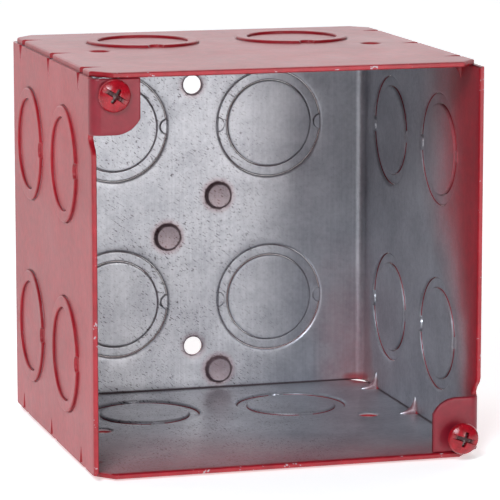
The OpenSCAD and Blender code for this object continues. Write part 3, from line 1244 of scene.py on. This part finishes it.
@dataclass
class EndPlates:
    """The welded top and bottom plates, eight-sided, crimped along both side seams."""

    sheet: FoldedSheet
    spots: tuple[float, ...] = (-24.1, 24.1)
    rear: float = 32.2

    def top(self) -> Shell:
        """The top plate. Past the corner cuts its front and back edges draw in along a straight line.

        Its edges carry the outer skin's value, since the paint covers them.

        Returns:
            The shell, in millimetres.
        """
        fold, box = self.sheet, self.sheet.box
        half = box.wall_x - box.plate_inset
        back, front = -box.plate_back, box.front_y
        holes = [(x, -self.rear, fold.knockout.outer_r, 144) for x in self.spots]
        gap, rear = box.plate_fixing
        holes += [(side * gap / 2, -rear, box.fixing_r, 40) for side in (-1, 1)]
        places = [-box.depth / 2 + c for c in box.crimps]
        tip = box.inner_x - box.crimp_len
        reach = box.crimp_r * (half - tip) / box.crimp_len
        side = [g[:, ::-1] for g in fold.crimp_guides(half, tip, places, reach)]
        guides = side + [g * np.array([[-1, 1]]) for g in side]
        corner = half - box.cut_x
        drawn = 12.0
        ends = ((front, front + 3), (back, back - 3))
        guides += [np.array([[s * corner, y0], [s * corner, y1]]) for s in (-1, 1) for y0, y1 in ends]
        plan = Plan((-half, front), (half, back), holes, guides)

        def place(points: np.ndarray, skin: float) -> np.ndarray:
            """Lays the net as the top plate, pushed down at the crimps and cut at its corners.

            Args:
                points: The net's points, n by 2.
                skin: 0 for the inner face, 1 for the outer one.

            Returns:
                Positions, n by 3.
            """
            x, y = points[:, 0], points[:, 1]
            lift = fold.crimp_lift(y, np.abs(x), places, tip)
            pulled = np.sign(x) * lift * np.clip((np.abs(x) - tip) / box.crimp_len, 0, 1)
            cut = np.clip(np.abs(x) - corner, 0, None) / box.cut_x * box.cut_y
            y = np.where(y < front + drawn, y + cut * (front + drawn - y) / drawn, y)
            y = np.where(y > back - drawn, y - cut * (y - back + drawn) / drawn, y)
            z = box.middle_z + box.half_z - box.sheet + skin * box.sheet - lift
            rolled = plan.rolled(points, "WESN" if skin else "S")
            return np.column_stack([x - pulled, y, z + (1 - 2 * skin) * rolled])

        points, faces = plan.fill()
        shell = thicken(points, faces, place)
        x, y = points.T
        edge = (np.abs(x) > half - 0.01) | (y < front + 0.01) | (y > back - 0.01)
        shell.skin = np.maximum(shell.skin, np.tile(edge, 2))
        return shell

    def build(self, finishes: Finishes) -> None:
        """Makes and dresses the two plates.

        Args:
            finishes: The material of each coat.
        """
        top = self.top()
        bottom = self.sheet.opposite(top)
        made = [("top_plate", top, Coat.TOP), ("bottom_plate", bottom, Coat.BOTTOM)]
        for node, shell, coat in made:
            wear(shell.piece(node + "_sheet"), Body.BOX, node, Slot.SHEET, finishes[coat])


@dataclass
class Knockouts:
    """Sixteen concentric knockouts: a proud ring held by two half moons, and a disc held by one tie."""

    sheet: FoldedSheet
    plates: EndPlates

    def ring(self) -> Shell:
        """A ring, in heights from the sheet's inner face.

        Its rounded rectangular profile is carried round the circle. It stands proud by raised, except
        within tie_r of each end of its level diameter, where a smooth step brings it back to the sheet.

        Returns:
            The shell, in millimetres.
        """
        ko, t = self.sheet.knockout, self.sheet.box.sheet
        share = np.linspace(0, 1, 240, endpoint=False)
        turn = 2 * math.pi * share - 0.34 * np.sin(4 * math.pi * share)
        near_edge = np.array([0.0, 0.02, 0.05, 0.085])
        across = np.concatenate([near_edge, np.linspace(0.13, 0.87, 12), 1 - near_edge[::-1]])
        edge = 0.3 * (1 - np.clip(np.minimum(across, 1 - across) / 0.13, 0, 1)) ** 2
        low, high = edge, t - edge
        along = np.concatenate([across, across[::-1]])[:, None]
        height = np.concatenate([low, high[::-1]])[:, None]
        outer = ko.outer_r - ko.gap
        near = np.abs(turn - np.round(turn / math.pi) * math.pi) * ko.outer_r
        outer = outer + ko.gap * smooth_step(ko.tie_r, ko.tie_r - 0.3, near)
        r = ko.inner_r + along * (outer - ko.inner_r)[None, :]
        x, y = r * np.cos(turn), r * np.sin(turn)
        away = np.hypot(np.abs(x) - ko.outer_r, y)
        z = height + ko.raised * smooth_step(ko.tie_r - 0.16, ko.tie_r + 0.16, away)
        skin = np.concatenate([np.zeros(len(across)), np.ones(len(across))])
        return swept(np.stack([x, y, z], -1), skin, True)

    def disc(self) -> Shell:
        """A disc: a rounded rectangular profile turned round its middle, dished by 0.1 mm.

        Its rim reaches out by the sheared gap across the one tie on its +X side.

        Returns:
            The shell, in millimetres.
        """
        ko, t = self.sheet.knockout, self.sheet.box.sheet
        turn = np.linspace(0, 2 * math.pi, 160, endpoint=False)
        out = np.array([0.06, 0.2, 0.4, 0.6, 0.8, 0.92, 0.965, 0.976, 0.986, 0.994, 1.0])
        edge = 0.3 * np.clip((out - 0.965) / 0.035, 0, 1) ** 2
        dish = 0.1 * (1 - out**2)
        share = np.concatenate([out, out[::-1]])[:, None]
        height = np.concatenate([edge + dish, (t - edge + dish)[::-1]])[:, None]
        near = np.abs(np.arctan2(np.sin(turn), np.cos(turn))) * ko.inner_r
        half_tie = ko.disc_tie / 2
        rim = ko.inner_r - ko.gap + ko.gap * smooth_step(half_tie + 0.1, half_tie - 0.1, near)
        r = share * rim[None, :]
        x, y = r * np.cos(turn), r * np.sin(turn)
        z = np.broadcast_to(height, x.shape)
        skin = np.concatenate([np.zeros(len(out)), np.ones(len(out))])
        return swept(np.stack([x, y, z], -1), skin, False)

    def places(self) -> list[tuple[str, np.ndarray, tuple[float, float, float], Coat]]:
        """Where each knockout goes, from the sheet's inner face outwards.

        Returns:
            Each one's name, turn, shift and coat.
        """
        fold, box = self.sheet, self.sheet.box
        quarter = math.radians(90)
        made = []
        names = ("upper_left", "upper_right", "lower_left", "lower_right")
        for name, (x, z) in zip(names, fold.back_spots):
            spin = Matrix.Rotation(0 if x > 0 else math.pi, 3, "Z")
            turn = Matrix.Rotation(-quarter, 3, "X") @ spin
            made.append((f"back_{name}", turn, (x, -box.sheet, box.middle_z + z), Coat.BACK))
        for side, wall in ((-1, Coat.LEFT), (1, Coat.RIGHT)):
            turn = Matrix.Rotation(side * quarter, 3, "Y") @ Matrix.Rotation(quarter, 3, "Z")
            for row, y in (("front", -fold.wall_rear - fold.wall_gap), ("rear", -fold.wall_rear)):
                for level, z in (("upper", fold.level), ("lower", -fold.level)):
                    shift = (side * box.inner_x, y, box.middle_z + z)
                    made.append((f"{wall.value}_wall_{level}_{row}", turn, shift, wall))
        for up, plate in ((1, Coat.TOP), (-1, Coat.BOTTOM)):
            flip = Matrix.Rotation(0 if up > 0 else math.pi, 3, "X")
            turn = flip @ Matrix.Rotation(up * quarter, 3, "Z")
            for hand, x in zip(("left", "right"), self.plates.spots):
                shift = (x, -self.plates.rear, box.middle_z + up * (box.half_z - box.sheet))
                made.append((f"{plate.value}_{hand}", turn, shift, plate))
        return [(name, np.array(turn), shift, coat) for name, turn, shift, coat in made]

    def build(self, finishes: Finishes) -> None:
        """Makes and dresses the sixteen rings and sixteen discs.

        Args:
            finishes: The material of each coat.
        """
        ring, disc = self.ring(), self.disc()
        for name, turn, shift, coat in self.places():
            for kind, shell in (("ring", ring), ("disc", disc)):
                node = f"knockout_{kind}_{name}"
                piece = shell.moved(turn, shift).piece(f"{name}_{kind}")
                wear(piece, Body.BOX, node, Slot.KNOCKOUT, finishes[coat])


@dataclass
class CoverScrew:
    """One cover screw in its tab: a domed head with a slot and a cross, and a threaded shank."""

    corner: Corner
    proud: float
    turned: float
    sheet: FoldedSheet
    sizes: ScrewSizes = ScrewSizes()

    def head(self) -> Shell:
        """The head over a square net drawn onto a disc by x = u sqrt(1 - v^2 / 2), and the same for y.

        Its top is the sphere's cap, cut down to the slot's floor in the slot's band and to the cross's
        floor in its wings, with each wall a smooth step 0.14 mm wide.

        Returns:
            The shell, in millimetres.
        """
        s = self.sizes
        u = np.linspace(-1, 1, 121)
        grid = np.stack(np.meshgrid(u, u, indexing="ij"), -1).reshape(-1, 2)
        faces = grid_quads(np.arange(len(u) ** 2).reshape(len(u), -1))
        r_head, rise = s.head_d / 2, s.head_h - s.rim_h
        r_dome = (r_head**2 + rise**2) / (2 * rise)

        def place(points: np.ndarray, skin: float) -> np.ndarray:
            """Lays the net as the head's flat underside or its cut dome.

            Args:
                points: The net's points, from -1 to 1 both ways.
                skin: 0 for the underside, 1 for the dome.

            Returns:
                Positions, n by 3.
            """
            x = r_head * points[:, 0] * np.sqrt(1 - points[:, 1] ** 2 / 2)
            y = r_head * points[:, 1] * np.sqrt(1 - points[:, 0] ** 2 / 2)
            r = np.hypot(x, y)
            if not skin:
                return np.column_stack([x, y, np.zeros_like(x)])
            dome = s.head_h - r_dome + np.sqrt(r_dome**2 - r**2)
            dome -= 0.35 * smooth_step(r_head - 0.45, r_head, r) ** 2
            slot = smooth_step(s.slot_w / 2 + 0.07, s.slot_w / 2 - 0.07, np.abs(y))
            floor = np.minimum(dome, s.head_h - s.slot_depth)
            top = dome + (floor - dome) * slot
            flat_x, flat_y = np.abs(x), np.abs(y)
            wide = s.cross_w / 2 - 0.10 * np.maximum(flat_x, flat_y)
            end = s.cross_len / 2
            wing_x, wing_y = (
                smooth_step(wide + 0.07, wide - 0.07, beside) * smooth_step(end, end - 0.2, out)
                for beside, out in ((flat_y, flat_x), (flat_x, flat_y))
            )
            wing = np.maximum(wing_x, wing_y)
            deep = s.head_h - s.cross_depth - 0.25 * smooth_step(1.8, 0.2, r)
            top = top + (np.minimum(top, deep) - top) * wing
            return np.column_stack([x, y, top])

        shell = thicken(grid, faces, place)
        away = np.minimum(np.hypot(*shell.verts[:, :2].T), r_head)
        cap = s.head_h - r_dome + np.sqrt(r_dome**2 - away**2)
        # The skin value falls to 0 down in the slot and cross, where the screw's finish paints shade.
        shell.skin = 1 - shell.skin * smooth_step(0.35, 1.0, cap - shell.verts[:, 2])
        return shell

    def shank(self) -> Shell:
        """The shank, whose radius follows the thread: a rounded wave of (height / pitch - turn).

        Returns:
            The shell, in millimetres.
        """
        s = self.sizes
        turn = np.linspace(0, 2 * math.pi, 48, endpoint=False)
        z = np.concatenate([np.linspace(-s.shank_len, -0.35, 250), [-0.2, -0.06]])
        wave = (z[:, None] / s.pitch - turn[None, :] / (2 * math.pi)) % 1.0
        crest = smooth_step(0.08, 0.42, wave) * smooth_step(0.92, 0.58, wave)
        tip = smooth_step(-s.shank_len, -s.shank_len + 0.9, z)[:, None]
        r = s.shank_d / 2 - 0.46 * (1 - crest * tip) - 0.25 * (1 - tip)
        x, y = r * np.cos(turn), r * np.sin(turn)
        rings = np.stack([x, y, np.broadcast_to(z[:, None], x.shape)], -1)
        return swept(rings, np.zeros(len(z)), False)

    def seated(self, shell: Shell, turn: float) -> Shell:
        """Turns a shell about its axis and puts it in its corner.

        Args:
            shell: A shell drawn with +Z out of the tab.
            turn: The turn in degrees, clockwise from the front.

        Returns:
            The seated shell.
        """
        fold, box = self.sheet, self.sheet.box
        spin = Matrix.Rotation(math.radians(-turn), 3, "Z")
        spin = np.array(Matrix.Rotation(math.radians(90), 3, "X") @ spin)
        x = -box.wall_x + fold.tab.screw_in
        z = box.middle_z + box.half_z - fold.tab.screw_down
        placed = shell.moved(spin, (x, fold.tab_y - self.proud, z))
        return placed if self.corner is Corner.UPPER_LEFT else fold.opposite(placed)

    def build(self, finishes: Finishes) -> None:
        """Makes and dresses the head and the shank.

        Args:
            finishes: The material of each coat.
        """
        name = self.corner.value
        head = self.seated(self.head(), self.turned).piece(f"{name}_cover_screw_head")
        paint = finishes[Coat.SCREW]
        wear(head, Body(f"{name}_head"), f"{name}_screw_head", Slot.SCREW, paint)
        shank = self.seated(self.shank(), 0.0).piece(f"{name}_cover_screw_shank")
        steel = finishes[Coat.THREAD]
        wear(shank, Body(f"{name}_shank"), f"{name}_screw_shank", Slot.THREAD, steel)


def wear(
    piece: bpy.types.Object, body: Body, node: str, slot: Slot, finish: bpy.types.Material
) -> None:
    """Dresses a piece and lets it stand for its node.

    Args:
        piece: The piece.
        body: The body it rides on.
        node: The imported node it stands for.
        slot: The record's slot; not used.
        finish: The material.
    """
    piece.data.materials.append(finish)
    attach(piece, body.value)
    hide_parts(node)
    LOG.info("%s rides on %s for %s", piece.name, body.value, node)


# ---- studio ---------------------------------------------------------------


@dataclass
class Studio:
    """A pale floor, a white surround, two soft lamps and the camera.

    The key lamp is warm and stands to the front right. The fill is cooler, high on the front left.

    front is the surround's brightness all round, and behind what is added behind the box. glow is the
    floor's own light, which stands for lamps turned on it.
    """

    floor_z: float
    camera_at: tuple[float, float, float] = (-0.2746, -1.03089, 0.16691)
    yaw: float = 0.27811
    pitch: float = 0.16562
    lens: float = 239.44
    front: float = 0.03
    behind: float = 1.65
    glow: float = 0.52
    key: float = 4.5
    fill: float = 10.5

    def camera(self) -> None:
        """Sets a long lens left of the front and a little above, turned by yaw and down by pitch."""
        lens = bpy.data.cameras.new("view")
        lens.lens, lens.sensor_width = self.lens, 36.0
        lens.clip_start, lens.clip_end = 0.05, 30.0
        camera = bpy.data.objects.new("view", lens)
        camera.location = self.camera_at
        camera.rotation_euler = (math.pi / 2 - self.pitch, 0.0, -self.yaw)
        bpy.context.scene.collection.objects.link(camera)
        bpy.context.scene.camera = camera

    def floor(self) -> None:
        """Lays a wide pale floor with a faint grain under the object."""
        mesh = bpy.data.meshes.new("floor")
        half = 9.0
        corners = [(-half, -half, 0), (half, -half, 0), (half, half, 0), (-half, half, 0)]
        mesh.from_pydata(corners, [], [(0, 1, 2, 3)])
        mesh.transform(Matrix.Translation((0, 0, self.floor_z)))
        floor = bpy.data.objects.new("floor", mesh)
        bpy.context.scene.collection.objects.link(floor)
        bench = new_finish("pale_floor")
        grain = bench.noise(40, 3)
        colour = bench.blend(grain, (0.92, 0.92, 0.92, 1), (0.95, 0.95, 0.95, 1))
        far = bench.y.rise(-0.55, -0.30)
        lit = bench.blend(far, (0.0, 0.0, 0.0, 1), (1.0, 1.0, 1.0, 1))
        values = {"Base Color": colour, "Roughness": 0.9}
        values.update({"Emission Color": lit, "Emission Strength": self.glow})
        mesh.materials.append(bench.finish(values, grain, 0.0001))

    def lamp(
        self,
        name: str,
        at: tuple[float, ...],
        aim: tuple[float, ...],
        size: tuple[float, float],
        watts: float,
        tint: tuple[float, ...],
    ) -> None:
        """Hangs one soft rectangular lamp.

        Args:
            name: The lamp's name.
            at: Where it hangs.
            aim: What it points at.
            size: Its width and height.
            watts: Its power.
            tint: Its colour.
        """
        lamp = bpy.data.lights.new(name, "AREA")
        lamp.shape, lamp.size, lamp.size_y, lamp.energy, lamp.color = "RECTANGLE", *size, watts, tint
        hung = bpy.data.objects.new(name, lamp)
        hung.location = at
        hung.rotation_euler = (Vector(aim) - Vector(at)).to_track_quat("-Z", "Y").to_euler()
        bpy.context.scene.collection.objects.link(hung)

    def build(self) -> None:
        """Sets the world, the lamps, the floor and the camera."""
        world = bpy.data.worlds.new("white_surround")
        bench = Bench(world, "Generated")
        strength = self.front + bench.y.rise(0.1, 0.7) * self.behind
        light = {"Color": (0.97, 0.98, 1.0, 1.0), "Strength": strength}
        sky = bench.add("ShaderNodeBackground", values=light)
        bench.close("ShaderNodeOutputWorld", sky)
        bpy.context.scene.world = world
        bpy.context.scene.view_settings.view_transform = "Standard"
        warm, cool = (1.0, 0.985, 0.97), (0.88, 0.94, 1.0)
        self.lamp("key", (0.39, -1.25, 0.12), (0.0, -0.05, 0.0), (0.22, 0.5), self.key, warm)
        self.lamp("fill", (-0.50, -0.95, 0.64), (0.0, -0.05, -0.02), (0.36, 0.36), self.fill, cool)
        self.floor()
        self.camera()


def main() -> None:
    """Reads the box's sizes from the imported parts, logs the back panel's extent, builds the object
    piece by piece and sets the studio.
    """
    logging.basicConfig(level=logging.INFO, format="%(name)s: %(message)s")
    low, high = (np.array(c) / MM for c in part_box("back_panel"))
    LOG.info("back panel from %s to %s mm", low.round(2), high.round(2))
    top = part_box("top_plate")[1][2] / MM
    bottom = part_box("bottom_plate")[0][2] / MM
    left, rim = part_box("left_side_wall")[0][0] / MM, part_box("left_side_wall")[0][1] / MM
    middle, half_z = (top + bottom) / 2, (top - bottom) / 2
    box = BoxSizes(wall_x=-left, middle_z=middle, front_y=rim, half_z=half_z)
    fold = FoldedSheet(box, TabSizes(), KnockoutSizes())
    plates = EndPlates(fold)
    inner = (box.inner_x * MM, box.depth * MM, box.middle_z * MM)
    spots = tuple(Spot(x * MM, z * MM, fold.boss_r * MM, True) for x, z in fold.bosses)
    holes = (-box.fixing_gap / 2 * MM, box.fixing_gap / 2 * MM)
    spots += tuple(Spot(0.0, z, box.fixing_r * MM, False) for z in holes)
    crimps = tuple((place - box.depth / 2) * MM for place in box.crimps)
    right_lean, bottom_lean = Lean(Axis.UP, 0.018, -0.045, 2.6), Lean(Axis.ACROSS, -0.02, 0.05, 2.0)
    # The tabs wear a darker copy of the walls' red: painted shade.
    tab_shaded_paint = RedSpray(TAB_SHADED_DEEP, TAB_SHADED_LIGHT, 0.42)
    rest = (inner, crimps)
    finishes = {
        Coat.BACK: SprayedSheet("back_zinc", 0.001, 0.012, *rest, spots=spots).make(),
        Coat.LEFT: SprayedSheet("left_wall_spray", 0.010, 0.075, *rest).make(),
        Coat.RIGHT: SprayedSheet("right_wall_spray", 0.010, 0.062, *rest, lean=right_lean).make(),
        Coat.TAB: SprayedSheet("tab_shaded_spray", 0.020, 0.030, *rest, paint=tab_shaded_paint).make(),
        Coat.TOP: SprayedSheet("top_plate_spray", 0.008, 0.070, *rest).make(),
        Coat.BOTTOM: SprayedSheet(
            "bottom_plate_spray", -0.012, 0.066, *rest, 0.8, bottom_lean, zinc=BareZinc(rough=0.32)
        ).make(),
        Coat.SCREW: ScrewSpray("screw_spray").make(),
        Coat.THREAD: ThreadSteel("thread_steel").make(),
    }
    fold.build(finishes)
    plates.build(finishes)
    Knockouts(fold, plates).build(finishes)
    CoverScrew(Corner.UPPER_LEFT, 1.0, 32.0, fold).build(finishes)
    CoverScrew(Corner.LOWER_RIGHT, 4.0, 18.0, fold).build(finishes)
    # The bottom rings stand 0.8 mm proud, so they reach 0.2 mm past the floor.
    floor_drop = 0.6
    Studio(floor_z=(bottom - floor_drop) * MM).build()


if __name__ == "__main__":
    main()
